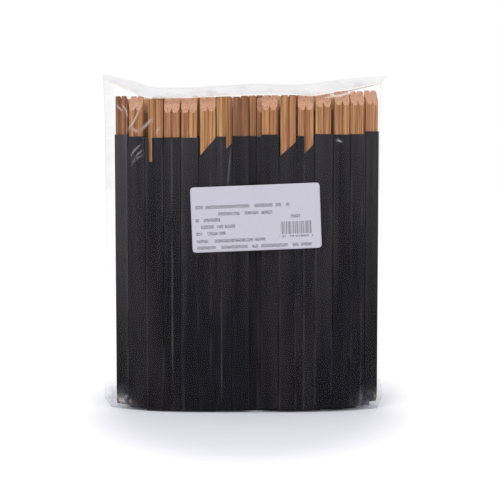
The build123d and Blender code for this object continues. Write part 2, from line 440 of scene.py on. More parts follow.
@dataclass(frozen=True)
class LabelFinish:
    """Pale satin label paper with a plain layout of grey bars and a block of stripes.

    Places are in metres from the label's middle, read from its sheet_place attribute.
    """

    name: str = "label_paper"
    sheet: Colour = (0.560, 0.545, 0.615, 1.0)
    ink: Colour = (0.105, 0.105, 0.120, 1.0)
    bars: tuple[tuple[Area, float], ...] = ()
    stripes: Area = (0.0, 0.0, 0.0, 0.0)
    roughness: float = 0.42
    specular: float = 0.35

    def strokes(self, wiring: Wiring, x: Socket, y: Socket, line_y: float,
                letter: float, number: int) -> Socket:
        """Blots the size of small print, broken into words.

        Args:
            wiring: The material's wiring.
            x: Place along the label.
            y: Place up the label.
            line_y: Middle of the line.
            letter: Pitch of the blots.
            number: Which line it is, so that lines differ.

        Returns:
            How dark the print is.
        """
        cell = wiring.add(Node.COMBINE)
        wiring.link(wiring.math("DIVIDE", x, letter), cell.inputs[0])
        wiring.link(wiring.math("DIVIDE", wiring.math("SUBTRACT", y, line_y), 1.6 * letter), cell.inputs[1])
        cell.inputs[2].default_value = 7.7 * number
        blots = wiring.add(Node.NOISE, Scale=2.3, Detail=1.0)
        wiring.link(cell.outputs[0], blots.inputs["Vector"])
        words = wiring.add(Node.NOISE, noise_dimensions="1D", Scale=0.17 / letter, Detail=0.0)
        wiring.link(wiring.math("ADD", x, 0.31 * number), words.inputs["W"])
        inked = wiring.spread(blots.outputs["Fac"], 0.40, 0.52)
        return wiring.math("MULTIPLY", inked, wiring.spread(words.outputs["Fac"], 0.36, 0.40))

    def mask(self, wiring: Wiring, x: Socket, y: Socket,
             area: Area) -> Socket:
        """Mask of one upright rectangle.

        Args:
            wiring: The material's wiring.
            x: Place along the label.
            y: Place up the label.
            area: Middle x, middle y, width and height.

        Returns:
            One inside the rectangle, zero outside.
        """
        inside = []
        for socket, middle, size in ((x, area[0], area[2]), (y, area[1], area[3])):
            offset = wiring.math("ABSOLUTE", wiring.math("SUBTRACT", socket, middle))
            inside.append(wiring.math("LESS_THAN", offset, size / 2))
        return wiring.math("MULTIPLY", inside[0], inside[1])

    def build(self) -> bpy.types.Material:
        """Wire the finish.

        Returns:
            The material.
        """
        material, wiring, output = new_material(self.name)
        uv = wiring.add(Node.ATTRIBUTE, attribute_name="sheet_place")
        place = wiring.add(Node.SEPARATE)
        wiring.link(uv.outputs["Vector"], place.inputs[0])
        x, y = place.outputs[0], place.outputs[1]
        print_mask = None
        for number, (area, letter) in enumerate(self.bars):
            line = self.mask(wiring, x, y, area)
            if letter:
                line = wiring.math("MULTIPLY", line, self.strokes(wiring, x, y, area[1], letter, number))
            print_mask = wiring.mask_sum(line, print_mask)
        widths = wiring.add(Node.NOISE, noise_dimensions="1D", Scale=1500.0, Detail=0.0)
        wiring.link(x, widths.inputs["W"])
        stripe = wiring.math("GREATER_THAN", widths.outputs["Fac"], 0.5)
        block = wiring.math("MULTIPLY", self.mask(wiring, x, y, self.stripes), stripe)
        print_mask = wiring.math("MAXIMUM", print_mask, block)
        coords = wiring.add(Node.COORDS).outputs["Object"]
        fibre = wiring.streaks(coords, (900.0, 900.0, 900.0), 2.0)
        paper = wiring.blend(wiring.spread(fibre, 0.3, 0.7, 0.0, 0.06), self.sheet, self.ink)
        colour = wiring.blend(wiring.math("MULTIPLY", print_mask, 0.82), paper, self.ink)
        bump = wiring.add(Node.BUMP, Strength=0.15, Distance=0.0001)
        wiring.link(fibre, bump.inputs["Height"])
        wiring.surface(output, colour, bump, self.roughness, self.specular)
        return material


@dataclass(frozen=True)
class Stand:
    """Where one upright piece of a CAD node stands: its middle, turn and height range."""

    x: float
    y: float
    turn: float
    low: float
    high: float
    width: float
    depth: float
    corners: tuple[Vector, ...]

    @property
    def placing(self) -> Matrix:
        """Matrix that stands a piece made round the origin in this place."""
        return Matrix.Translation((self.x, self.y, self.low)) @ Matrix.Rotation(self.turn, 4, "Z")


def islands(node: str) -> list[Stand]:
    """Split a CAD node into its upright pieces.

    Args:
        node: The node's name.

    Returns:
        One stand for each piece, from left to right.
    """
    copy = bmesh.new()
    copy.from_mesh(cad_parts[node].data)
    bmesh.ops.remove_doubles(copy, verts=copy.verts, dist=1e-6)
    left = set(copy.verts)
    stands = []
    while left:
        heap = [left.pop()]
        island = []
        while heap:
            vert = heap.pop()
            island.append(vert)
            for edge in vert.link_edges:
                other = edge.other_vert(vert)
                if other in left:
                    left.discard(other)
                    heap.append(other)
        stands.append(measure_stand([vert.co.copy() for vert in island]))
    copy.free()
    return sorted(stands, key=lambda stand: stand.x)


def measure_stand(points: list[Vector]) -> Stand:
    """Fit the tightest upright box to a piece.

    Args:
        points: The piece's vertices.

    Returns:
        Its stand, with the long side of its plan along local X.
    """
    flat = [Vector(point[:2]) for point in points]
    hull = [flat[i] for i in geometry.convex_hull_2d(flat)]
    best = None
    for start, end in zip(hull, hull[1:] + hull[:1]):
        along = (end - start)
        if along.length < 1e-5:
            continue
        along.normalize()
        across = Vector((-along.y, along.x))
        us = [p.dot(along) for p in hull]
        vs = [p.dot(across) for p in hull]
        size = (max(us) - min(us), max(vs) - min(vs))
        if best is None or size[0] * size[1] < best[0]:
            middle = along * (max(us) + min(us)) / 2 + across * (max(vs) + min(vs)) / 2
            best = (size[0] * size[1], size, middle, math.atan2(along.y, along.x))
    _, size, middle, turn = best
    if size[0] < size[1]:
        size, turn = (size[1], size[0]), turn + math.pi / 2
    turn = (turn + math.pi / 2) % math.pi - math.pi / 2
    heights = [point.z for point in points]
    return Stand(middle.x, middle.y, turn, min(heights), max(heights), size[0], size[1], tuple(hull))


def finish_mesh(shape: bmesh.types.BMesh, name: str, material: bpy.types.Material,
                replaced: tuple[str, ...] = ()) -> bpy.types.Object:
    """Turn a bmesh into a finished piece on the frame.

    Args:
        shape: The mesh, in its place, which is freed.
        name: The piece's name.
        material: Its finish.
        replaced: CAD nodes that the piece stands for.

    Returns:
        The new object.
    """
    mesh = bpy.data.meshes.new(name)
    shape.to_mesh(mesh)
    shape.free()
    mesh.materials.append(material)
    piece = bpy.data.objects.new(name, mesh)
    bpy.context.scene.collection.objects.link(piece)
    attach(piece, "root")
    if replaced:
        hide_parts(*replaced)
    LOG.info("%s: %d faces", name, len(mesh.polygons))
    return piece


class Top(Enum):
    """How a sleeve's front panel ends."""

    STRAIGHT = "straight"
    SLANT = "slant"
    NOTCH = "notch"


def next_ring(shape: bmesh.types.BMesh, edges: list) -> tuple[set, list]:
    """Extrude a ring of edges in place.

    Args:
        shape: The mesh.
        edges: The ring's edges.

    Returns:
        The new ring's vertices and edges.
    """
    made = bmesh.ops.extrude_edge_only(shape, edges=edges)["geom"]
    verts = {item for item in made if isinstance(item, bmesh.types.BMVert)}
    sides = [item for item in made if isinstance(item, bmesh.types.BMEdge)]
    return verts, [edge for edge in sides if set(edge.verts) <= verts]


@dataclass(frozen=True)
class SleeveCut:
    """A sleeve's front panel: the way it ends and where, as shares of its width and in metres."""

    top: Top = Top.STRAIGHT
    start: float = 0.0
    stop: float = 1.0
    start_depth: float = 0.0
    stop_depth: float = 0.0


@dataclass
class Sleeves:
    """The black paper sleeves."""

    paper: PaperFinish = field(default_factory=PaperFinish)
    wall: float = 0.10 * MM
    corner: float = 0.55 * MM
    widest_gap: float = 4.5 * MM
    kept_gap: float = 0.12 * MM
    floor_gap: float = 0.3 * MM
    corner_steps: int = 2
    panel_points: int = 9
    rows: int = 22
    hidden_corner_steps: int = 1
    hidden_panel_points: int = 1
    hidden_rows: int = 3
    swell: float = 0.09 * MM
    weld: float = 0.5
    tip_hug: float = 0.82
    hug_height: float = 7.0 * MM
    hem: float = 0.5 * MM
    seed: int = 12

    front_cuts: dict[int, SleeveCut] = field(default_factory=lambda: {
        3: SleeveCut(Top.NOTCH, 0.04, 0.3, 18.5 * MM, 18.5 * MM),
        6: SleeveCut(Top.SLANT, 0.0, 1.0, 15 * MM, 0.0),
        7: SleeveCut(Top.NOTCH, 0.61, 1.0, 9.5 * MM, 4.8 * MM),
        10: SleeveCut(Top.SLANT, 0.0, 1.0, 15.5 * MM, 3.5 * MM),
        11: SleeveCut(Top.NOTCH, 0.41, 1.0, 13.5 * MM, 5.8 * MM),
    })
    back_slant: SleeveCut = SleeveCut(Top.SLANT, 0.0, 1.0, 14 * MM, 0.0)
    front_seams: dict[int, tuple[float, float]] = field(default_factory=lambda: {
        4: (0.5, 1.0), 5: (0.1, 0.7), 6: (0.7, 0.6), 7: (0.3, 0.7), 11: (0.45, 0.6), 13: (0.45, -1.0),
        14: (0.75, 0.8)})
    # The leftmost front sleeve is made paler by a painted sheen, and how pale.
    painted_sheen_sleeve: int = 1
    painted_sheen_shade: float = 1.45

    def plan(self, width: float, depth: float, corner_steps: int, panel_points: int) -> list[Vector]:
        """The rounded plan, anticlockwise from the middle of its left side.

        Args:
            width: Plan size along X.
            depth: Plan size along Y.
            corner_steps: Edges in each rounded corner.
            panel_points: Points along each broad panel, between its corners.

        Returns:
            The points of the plan.
        """
        x, y = width / 2 - self.corner, depth / 2 - self.corner
        quarter = math.pi / 2
        arcs = []
        for number, (mid_x, mid_y) in enumerate(((-x, -y), (x, -y), (x, y), (-x, y))):
            start = math.pi + number * quarter
            angles = [start + quarter * step / corner_steps for step in range(corner_steps + 1)]
            arcs.append([Vector((mid_x + self.corner * math.cos(a), mid_y + self.corner * math.sin(a)))
                         for a in angles])
        shares = [(point + 1) / (panel_points + 1) for point in range(panel_points)]
        front = [arcs[0][-1].lerp(arcs[1][0], share) for share in shares]
        back = [arcs[2][-1].lerp(arcs[3][0], share) for share in shares]
        left, right = Vector((-width / 2, 0.0)), Vector((width / 2, 0.0))
        return [left, *arcs[0], *front, *arcs[1], right, *arcs[2], *back, *arcs[3]]

    def levels(self, height: float, tip: float, rows: int) -> list[float]:
        """Heights of the tube's rings, close together at its foot and at its hem."""
        foot = [0.0, 0.5 * tip, tip, tip + 0.4 * self.hug_height, tip + self.hug_height]
        rest = height - self.hem - foot[-1]
        return foot + [foot[-1] + rest * (row + 1) / rows for row in range(rows)] + [height]

    def tube(self, stand: Stand, tip: float, fine: bool, wave: float) -> bmesh.types.BMesh:
        """An upright paper tube round the origin, welded flat at its foot.

        Args:
            stand: Size of the sleeve.
            tip: Height of the stick's tips over the sleeve's foot.
            fine: Whether it is a sleeve that shows.
            wave: Phase of the paper's slow ripple.

        Returns:
            The mesh, with its foot at z zero.
        """
        steps = self.corner_steps if fine else self.hidden_corner_steps
        panel = self.panel_points if fine else self.hidden_panel_points
        plan = self.plan(stand.width, stand.depth, steps, panel)
        heights = self.levels(stand.high - stand.low, tip, self.rows if fine else self.hidden_rows)
        shape = bmesh.new()
        fold = shape.verts.layers.float.new("fold")
        count = len(plan)
        circle = bmesh.ops.create_circle(shape, cap_ends=True, cap_tris=False, segments=count, radius=1.0)
        ring = circle["verts"]
        edges = list({edge for vert in ring for edge in vert.link_edges})
        for _ in heights[1:]:
            verts, edges = next_ring(shape, edges)
            bmesh.ops.translate(shape, verts=list(verts), vec=(0.0, 0.0, 1.0))
        for vert in shape.verts:
            place = round((math.atan2(vert.co.y, vert.co.x) / math.tau + 0.5) * count) % count
            spot, z = plan[place], heights[round(vert.co.z)]
            if z < tip:
                hug = self.weld + (self.tip_hug - self.weld) * z / tip
            else:
                hug = 1.0 - (1.0 - self.tip_hug) * max(0.0, 1.0 - (z - tip) / self.hug_height)
            rise = z / heights[-1]
            on_panel = abs(spot.x) < stand.width / 2 - self.corner
            ripple = 0.5 + 0.5 * math.sin(wave + 11.0 * rise + 2.5 * spot.x / stand.width * math.sin(wave))
            swell = self.swell * ripple * hug if on_panel and fine else 0.0
            vert.co = (spot.x, spot.y * hug + math.copysign(swell, spot.y), z)
            turned_edge = not on_panel and abs(spot.y) > 0.25 * stand.depth
            vert[fold] = 0.45 if turned_edge else 0.0
        return shape

    def around(self, faces: list) -> list:
        """The faces with all their edges and corners."""
        edges = {edge for face in faces for edge in face.edges}
        return faces + list(edges) + list({vert for face in faces for vert in face.verts})

    def trim(self, shape: bmesh.types.BMesh, stand: Stand, cut: SleeveCut) -> None:
        """Cut the front panel's top.

        Args:
            shape: The tube, round the origin.
            stand: Size of the sleeve.
            cut: The cut.
        """
        height = stand.high - stand.low
        start_x = (cut.start - 0.5) * stand.width
        stop_x = (cut.stop - 0.5) * stand.width
        for x in (start_x, stop_x):
            if abs(x) < 0.49 * stand.width:
                front = [f for f in shape.faces if f.calc_center_median().y < 0]
                bmesh.ops.bisect_plane(shape, geom=self.around(front), plane_co=(x, 0, 0), plane_no=(1, 0, 0),
                                       dist=1e-6)
        low_point = Vector((start_x, 0.0, height - cut.start_depth))
        along = Vector((stop_x, 0.0, height - cut.stop_depth)) - low_point
        normal = Vector((-along.z, 0.0, along.x)).normalized()
        margin = 1e-5
        for shift in (-self.hem, 0.0):
            faces = [f for f in shape.faces if f.calc_center_median().y < 0
                     and start_x - margin < f.calc_center_median().x < stop_x + margin]
            bmesh.ops.bisect_plane(shape, geom=self.around(faces), plane_co=low_point + normal * shift,
                                   plane_no=normal, dist=1e-6)
        waste = [f for f in shape.faces if f.calc_center_median().y < 0
                 and start_x - margin < f.calc_center_median().x < stop_x + margin
                 and (f.calc_center_median() - low_point).dot(normal) > 0]
        bmesh.ops.delete(shape, geom=waste, context="FACES")

    def piece(self, stand: Stand, stick: Stand, cut: SleeveCut, turned: bool, fine: bool, wave: float,
              shade: float, seam: tuple[float, float] | None = None) -> bmesh.types.BMesh:
        """One sleeve in its place.

        Args:
            stand: Where it stands.
            stick: Where its pair stands.
            cut: Its panel's cut.
            turned: Whether the cut panel looks back.
            fine: Whether it is a sleeve that shows.
            wave: Phase of the ripple.
            shade: How pale its paper is, a random tone except on the leftmost front sleeve, where it is a
                painted sheen; it fades towards the foot as painted light.
            seam: Place across the front panel of its glued overlap and how strongly it shows.

        Returns:
            The mesh with its wall's thickness.
        """
        shape = self.tube(stand, max(self.hem, stick.low - stand.low), fine, wave)
        fold = shape.verts.layers.float["fold"]
        tone = shape.verts.layers.float.new("shade")
        if seam:
            facing = 1 if turned else -1
            seam_x = -facing * (seam[0] - 0.5) * stand.width
            panel = [v for v in shape.verts if v.co.y * facing > 0.0]
            nearest = min(panel, key=lambda v: abs(v.co.x - seam_x)).co.x
            for vert in panel:
                if abs(vert.co.x - nearest) < self.wall:
                    vert[fold] = seam[1]
        if cut.top is not Top.STRAIGHT:
            self.trim(shape, stand, cut)
        for edge in shape.edges:
            if edge.is_boundary:
                for vert in edge.verts:
                    vert[fold] = 1.0
        for vert in shape.verts:
            # Painted light from above: the shade fades towards the sleeve's foot.
            vert[tone] = shade * (0.1 + 0.9 * vert.co.z / (stand.high - stand.low))
        bmesh.ops.recalc_face_normals(shape, faces=shape.faces)
        bmesh.ops.solidify(shape, geom=shape.faces, thickness=self.wall)
        if turned:
            half_turn = Matrix.Rotation(math.pi, 3, "Z")
            bmesh.ops.rotate(shape, verts=shape.verts, cent=(0, 0, 0), matrix=half_turn)
        bmesh.ops.transform(shape, matrix=stand.placing, verts=shape.verts)
        return shape

    def merge(self, shapes: list[bmesh.types.BMesh]) -> bmesh.types.BMesh:
        """Gather several meshes in one.

        Args:
            shapes: The meshes, which are freed.

        Returns:
            The gathered mesh.
        """
        whole = bmesh.new()
        for shape in shapes:
            carrier = bpy.data.meshes.new("carrier")
            shape.to_mesh(carrier)
            shape.free()
            whole.from_mesh(carrier)
            bpy.data.meshes.remove(carrier)
        return whole

    def closed_up(self, stands: list[Stand]) -> list[tuple[Stand, tuple[float, float]]]:
        """Widen the front sleeves' loose paper until neighbours nearly meet.

        Args:
            stands: Where the sleeves stand, from left to right.

        Returns:
            The widened stands, each with the growth of its left and right sides.
        """
        growth = [[0.0, 0.0] for _ in stands]
        for index, (one, other) in enumerate(zip(stands, stands[1:])):
            gap = math.hypot(other.x - one.x, other.y - one.y) - (one.width + other.width) / 2
            if self.kept_gap < gap < self.widest_gap:
                growth[index][1] = growth[index + 1][0] = (gap - self.kept_gap) / 2
        widened = []
        for stand, (left, right) in zip(stands, growth):
            shift = (right - left) / 2
            x, y = stand.x + shift * math.cos(stand.turn), stand.y + shift * math.sin(stand.turn)
            widened.append((replace(stand, x=x, y=y, width=stand.width + left + right), (left, right)))
        return widened

    def kept_cut(self, cut: SleeveCut, stand: Stand, grown: tuple[float, float]) -> SleeveCut:
        """The same cut, in the same place, on a sleeve that was widened."""
        before = stand.width - sum(grown)
        start = (cut.start * before + grown[0]) / stand.width if cut.start > 0 else 0.0
        stop = (cut.stop * before + grown[0]) / stand.width if cut.stop < 1 else 1.0
        return replace(cut, start=start, stop=stop)

    def build(self) -> None:
        """Make every sleeve and hide the CAD ones."""
        chance = random.Random(self.seed)
        finish = self.paper.build()
        front = sorted(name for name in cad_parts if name.startswith("sleeve_front"))
        stands = self.closed_up([islands(node)[0] for node in front])
        for number, (node, (stand, grown)) in enumerate(zip(front, stands), 1):
            stick = islands(node.replace("sleeve", "chopsticks"))[0]
            cut = self.front_cuts.get(number)
            if cut:
                cut = self.kept_cut(cut, stand, grown)
            wave = chance.uniform(0, math.tau)
            # The leftmost front sleeve gets a painted sheen, the others a random tone.
            shade = self.painted_sheen_shade if number == self.painted_sheen_sleeve else chance.uniform(0.05, 0.36)
            shape = self.piece(stand, stick, cut or self.back_slant, cut is None, True, wave, shade,
                               self.front_seams.get(number))
            finish_mesh(shape, f"paper_{node}", finish, (node,))
        rows = sorted(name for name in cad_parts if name.startswith("sleeves_row"))
        for node in rows:
            fine = node == rows[-1]
            shapes = []
            for stand, stick in zip(islands(node), islands(node.replace("sleeves", "chopsticks"))):
                stand = replace(stand, low=self.floor_gap)
                turned = chance.random() < 0.5
                wave, shade = chance.uniform(0, math.tau), chance.uniform(0.05, 0.36)
                shapes.append(self.piece(stand, stick, self.back_slant, turned, fine, wave, shade))
            finish_mesh(self.merge(shapes), f"paper_{node}", finish, (node,))


@dataclass
class Chopsticks:
    """The bamboo pairs, which are the frame's own solids in a better finish."""

    uneven: dict[str, Heat] = field(default_factory=lambda: {
        "chopsticks_front_01": Heat.RUDDY,
        "chopsticks_front_07": Heat.PALE,
        "chopsticks_front_08": Heat.RUDDY,
    })

    def build(self) -> None:
        """Dress every pair."""
        finishes = {heat: BambooFinish(heat).build() for heat in Heat}
        for name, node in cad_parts.items():
            if name.startswith("chopsticks"):
                for slot in node.material_slots:
                    slot.material = finishes[self.uneven.get(name, Heat.EVEN)]
                LOG.info("%s dressed", name)


@dataclass(frozen=True)
class Crease:
    """A raised line in the film, along a few points of its front panel, with a painted highlight along it."""

    points: Line
    width: float
    height: float
    gleam: float

    def strength(self, x: float, z: float) -> float:
        """Nearness to the line, from zero to one.

        Args:
            x: Place along the pack.
            z: Height.

        Returns:
            One on the line, fading to zero at its width and towards its ends.
        """
        place = Vector((x, z))
        runs = [(Vector(a), Vector(b)) for a, b in zip(self.points, self.points[1:])]
        total = sum((b - a).length for a, b in runs)
        best, passed = 0.0, 0.0
        for a, b in runs:
            along = b - a
            share = min(1.0, max(0.0, (place - a).dot(along) / along.length_squared))
            distance = (place - (a + along * share)).length
            reach = (passed + along.length * share) / total
            fade = max(0.0, math.sin(math.pi * (0.03 + 0.94 * reach))) ** 0.4
            best = max(best, math.exp(-((distance / self.width) ** 2)) * fade)
            passed += along.length
        return best


def line_value(points: Line, place: float) -> float:
    """Read a line of straight runs.

    Args:
        points: Places and values, in order of place.
        place: Where to read it.

    Returns:
        The value there, held past the ends.
    """
    if place <= points[0][0]:
        return points[0][1]
    for (low, first), (high, second) in zip(points, points[1:]):
        if place <= high:
            return first + (second - first) * (place - low) / (high - low)
    return points[-1][1]


def smooth_value(points: Line, place: float) -> float:
    """Read a line with eased corners, as line_value does."""
    reach = 6 * MM
    return sum(line_value(points, place + reach * shift) for shift in (-1.0, -0.5, 0.0, 0.5, 1.0)) / 5


@dataclass
class Film:
    """The clear bag: two panels that meet at the side welds and at the top seam."""

    finish: FilmFinish = field(default_factory=FilmFinish)
    clearance: float = 0.35 * MM
    columns: int = 300
    wall_rows: int = 125
    plain_rows: int = 62
    plain_share: float = 0.80
    roof_rows: int = 18
    foot_rows: int = 4
    foot_radius: float = 2.0 * MM
    seam_half: float = 0.15 * MM
    left_fin: float = 9.0 * MM
    right_fin: float = 2.0 * MM
    fin_haze: float = 0.09
    right_share: float = 0.25
    roof_haze: float = 0.19
    ripple_lift: float = 0.25 * MM
    ripple_swing: float = 0.22 * MM
    corner_width: float = 0.014
    corner_height: float = 0.012
    corner_crumple: float = 1.5 * MM
    roof_fold: float = 0.8 * MM
    # Painted highlights along the fold at the eaves, and a fainter one just above it.
    eave_gleam: float = 0.85
    over_eave_gleam: float = 0.45
    left_edge: Line = (
        (0.0, -0.1080), (0.007, -0.1140), (0.020, -0.1118), (0.122, -0.1112), (0.211, -0.1115),
        (0.261, -0.1131))
    right_edge: Line = (
        (0.0, 0.1020), (0.008, 0.1066), (0.022, 0.1036), (0.124, 0.1026), (0.212, 0.1030), (0.244, 0.1036),
        (0.260, 0.1085))
    eaves: Line = (
        (-0.1131, 0.2590), (-0.1030, 0.2555), (-0.0870, 0.2486), (-0.0760, 0.2424), (-0.0510, 0.2422),
        (-0.0020, 0.2440), (0.0230, 0.2452), (0.0350, 0.2450), (0.0420, 0.2436), (0.0540, 0.2440),
        (0.0610, 0.2462), (0.0760, 0.2488), (0.0840, 0.2506), (0.1020, 0.2545), (0.1085, 0.2570))
    top: Line = (
        (-0.1131, 0.2620), (-0.0820, 0.2545), (-0.0755, 0.2508), (-0.0400, 0.2512), (0.0050, 0.2543),
        (0.0290, 0.2530), (0.0480, 0.2537), (0.0665, 0.2566), (0.0815, 0.2582), (0.1085, 0.2600))
    # Raised creases, each with its width, its height and the strength of its painted highlight.
    creases: tuple[Crease, ...] = (
        Crease(((-0.1017, 0.2374), (-0.0972, 0.2325)), 0.6 * MM, 0.4 * MM, 0.55),
        Crease(((-0.0971, 0.2379), (-0.0941, 0.2333), (-0.0926, 0.2279)), 0.6 * MM, 0.4 * MM, 0.48),
        Crease(((-0.0848, 0.2387), (-0.0879, 0.2333)), 0.6 * MM, 0.4 * MM, 0.40),
        Crease(((-0.0833, 0.2333), (-0.0875, 0.2250), (-0.0926, 0.2180)), 0.7 * MM, 0.5 * MM, 0.52),
        Crease(((-0.0733, 0.2264), (-0.0819, 0.2180)), 1.2 * MM, 0.5 * MM, 0.36),
        Crease(((-0.0672, 0.2203), (-0.0711, 0.2149)), 0.6 * MM, 0.4 * MM, 0.36),
        Crease(((-0.0890, 0.2185), (-0.0840, 0.2165)), 1.3 * MM, 0.4 * MM, 0.36),
        Crease(((-0.0905, 0.1980), (-0.0875, 0.2025), (-0.0827, 0.2068)), 0.6 * MM, 0.4 * MM, 0.30),
        Crease(((-0.0866, 0.1980), (-0.0812, 0.2026)), 0.6 * MM, 0.4 * MM, 0.28),
        Crease(((-0.0905, 0.1910), (-0.0870, 0.1960), (-0.0812, 0.1987)), 0.6 * MM, 0.4 * MM, 0.26),
        Crease(((-0.0133, 0.2034), (-0.0156, 0.1764)), 0.6 * MM, 0.3 * MM, 0.13),
        Crease(((0.0677, 0.2103), (0.0716, 0.2087)), 0.7 * MM, 0.3 * MM, 0.45),
        Crease(((0.0590, 0.2425), (0.0700, 0.2440), (0.0800, 0.2470)), 0.8 * MM, 0.3 * MM, 0.80),
        Crease(((-0.0970, 0.0110), (-0.0915, 0.0060)), 0.8 * MM, 0.4 * MM, 0.40),
        Crease(((-0.1000, 0.0080), (-0.0955, 0.0040)), 0.8 * MM, 0.4 * MM, 0.35),
        Crease(((-0.1030, 0.0100), (-0.0990, 0.0035)), 1.0 * MM, 0.5 * MM, 0.60),
        Crease(((0.0980, 0.0130), (0.1010, 0.0070), (0.0960, 0.0030)), 1.0 * MM, 0.5 * MM, 0.30),
    )

    def __post_init__(self) -> None:
        """Gather the plan of the bundle and the tops of the sticks."""
        self.plan: list[Vector] = []
        self.tops: list[Stand] = []
        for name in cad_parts:
            if name.startswith("sleeve"):
                for stand in islands(name):
                    self.plan.extend(stand.corners)
            elif name.startswith("chopsticks"):
                self.tops.extend(islands(name))
        self.plan = [self.plan[i] for i in geometry.convex_hull_2d(self.plan)]

    def outline(self, z: float) -> tuple[list[Vector], list[Vector]]:
        """Front and back lines of the film at a height.

        Args:
            z: The height.

        Returns:
            The front and the back corner points, each from left to right.
        """
        tips = [Vector((line_value(self.left_edge, z), 0.0)), Vector((line_value(self.right_edge, z), 0.0))]
        grown = [p + p.normalized() * self.clearance + Vector((0, math.copysign(self.clearance, p.y)))
                 for p in self.plan]
        points = grown + tips
        hull = [points[i] for i in geometry.convex_hull_2d(points)]
        front = sorted((p for p in hull if p.y <= 0), key=lambda p: p.x)
        back = sorted((p for p in hull if p.y >= 0), key=lambda p: p.x)
        return front, back

    def depth_at(self, corners: list[Vector], x: float) -> float:
        """Depth of an outline's line at a place along the pack."""
        return line_value(tuple((p.x, p.y) for p in corners), x)

    def column_share(self, column: int) -> float:
        """Place of a column between the side welds, closer together near them."""
        even = column / self.columns
        return even - 0.07 * math.sin(math.tau * even) / math.tau * 2

    def front_depth(self, x: float, z: float) -> float:
        """A depth near the front panel's, without its creases and with slow ripples of its own.

        Args:
            x: Place along the pack.
            z: Height.

        Returns:
            The y there.
        """
        front, _ = self.outline(z)
        y = self.depth_at(front, x)
        ripple = noise.noise(Vector((x * 26, 3.1, z * 9))) + 0.5 * noise.noise(Vector((x * 70, 7.7, z * 22)))
        return y - self.ripple_lift - self.ripple_swing * ripple

    def stick_height(self, x: float, y: float) -> float:
        """Height of the highest stick under a place, or zero where there is none."""
        reach = 1.2 * MM
        best = 0.0
        for stand in self.tops:
            local = Matrix.Rotation(-stand.turn, 2) @ Vector((x - stand.x, y - stand.y))
            if abs(local.x) < stand.width / 2 + reach and abs(local.y) < stand.depth / 2 + reach:
                best = max(best, stand.high)
        return best

    def climb(self, row: int) -> float:
        """Share of the wall's height at a row; rows are closer together near the top."""
        step = min(self.wall_rows, max(0, row - self.foot_rows))
        if step <= self.plain_rows:
            return self.plain_share * step / self.plain_rows
        dense_rows = self.wall_rows - self.plain_rows
        return self.plain_share + (1 - self.plain_share) * (step - self.plain_rows) / dense_rows

    def surface(self, share: float, row: int, side: int, cache: dict[int, tuple]) -> Vector:
        """A point of the smooth film.

        Args:
            share: Place from the left weld to the right one.
            row: Row of the mesh, from the middle of the base to the top seam.
            side: -1 for the front panel, 1 for the back one.
            cache: Outlines already worked out, keyed by row.

        Returns:
            The point.
        """
        foot = self.foot_rows
        wall_top = foot + self.wall_rows
        low_x, high_x = self.left_edge[0][1], self.right_edge[0][1]
        eave = smooth_value(self.eaves, low_x + (high_x - low_x) * share)
        z = 0.2 * MM + (eave - 0.2 * MM) * self.climb(row)
        inward = min(1.0, row / foot)
        key = min(max(row, foot), wall_top)
        if key not in cache:
            height = self.eaves[5][1] * self.climb(key)
            cache[key] = (self.outline(height), line_value(self.left_edge, height),
                          line_value(self.right_edge, height))
        (front, back), left, right = cache[key]
        x = left + (right - left) * share
        y = self.depth_at(front if side < 0 else back, x)
        turn = min(1.0, z / self.foot_radius)
        y *= inward * (1.0 - 0.05 * (1.0 - turn) ** 2)
        if row > wall_top:
            rise = (row - wall_top) / self.roof_rows
            ear_left, ear_right = self.left_edge[-1][1], self.right_edge[-1][1]
            x = x + (ear_left + (ear_right - ear_left) * share - x) * rise ** 1.3
            top = smooth_value(self.top, x)
            y *= (1.0 - rise) ** 0.85
            z = eave + (top - eave) * rise
            z = max(z, min(self.stick_height(x, y) + 0.5 * MM, top)) if rise < 0.98 else z
        return Vector((x, y + math.copysign(self.seam_half, side), z))

    def dress_point(self, point: Vector, side: int, row: int, share: float) -> tuple[Vector, float, float]:
        """Add ripples, crumples and creases to a point.

        Args:
            point: The smooth surface's point.
            side: -1 for the front panel, 1 for the back one.
            row: Row of the mesh.
            share: Place between the welds.

        Returns:
            The point, the cover of its grey veil and the strength of its painted highlight.
        """
        wall_top = self.foot_rows + self.wall_rows
        haze = gleam = shift = 0.0
        x, z = point.x, point.z
        near_weld = min(1.0, min(share, 1 - share) * 30)
        if self.foot_rows < row <= wall_top:
            ripple = noise.noise(Vector((x * 26, 3.1 * side, z * 9)))
            ripple += 0.5 * noise.noise(Vector((x * 70, 7.7 * side, z * 22)))
            shift += (self.ripple_lift + self.ripple_swing * ripple) * near_weld
        inset = min(x - self.left_edge[0][1], self.right_edge[0][1] - x)
        corner = math.exp(-((inset / self.corner_width) ** 2)) * math.exp(-((z / self.corner_height) ** 2))
        crumple = noise.noise(Vector((x * 210, 5.0 * side, z * 190)))
        shift += self.corner_crumple * corner * (crumple + 0.3) * near_weld
        haze = max(haze, corner * (0.25 + 0.9 * max(0.0, crumple)))
        left_weld, right_weld = line_value(self.left_edge, z), line_value(self.right_edge, z)
        fin = max(0.0, 1.0 - (x - left_weld) / self.left_fin,
                  self.right_share * (1.0 - (right_weld - x) / self.right_fin))
        soft = 0.5 + 0.5 * noise.noise(Vector((x * 300, 1.3, z * 14)))
        haze = max(haze, self.fin_haze * min(1.0, 2.2 * fin) * (0.45 + 0.8 * soft))
        if row > wall_top:
            fold = noise.noise(Vector((x * 45, 2.0 * side, z * 160)))
            fold += 0.6 * noise.noise(Vector((x * 120, 9.0, z * 60)))
            rise = (row - wall_top) / self.roof_rows
            shift += self.roof_fold * fold * math.sin(math.pi * rise) * near_weld
            cover = (self.roof_haze + 0.26 * max(0.0, fold)) * (1.15 - 0.75 * rise) * (1.12 - 0.42 * share)
            haze = max(haze, cover)
        rim = row - wall_top
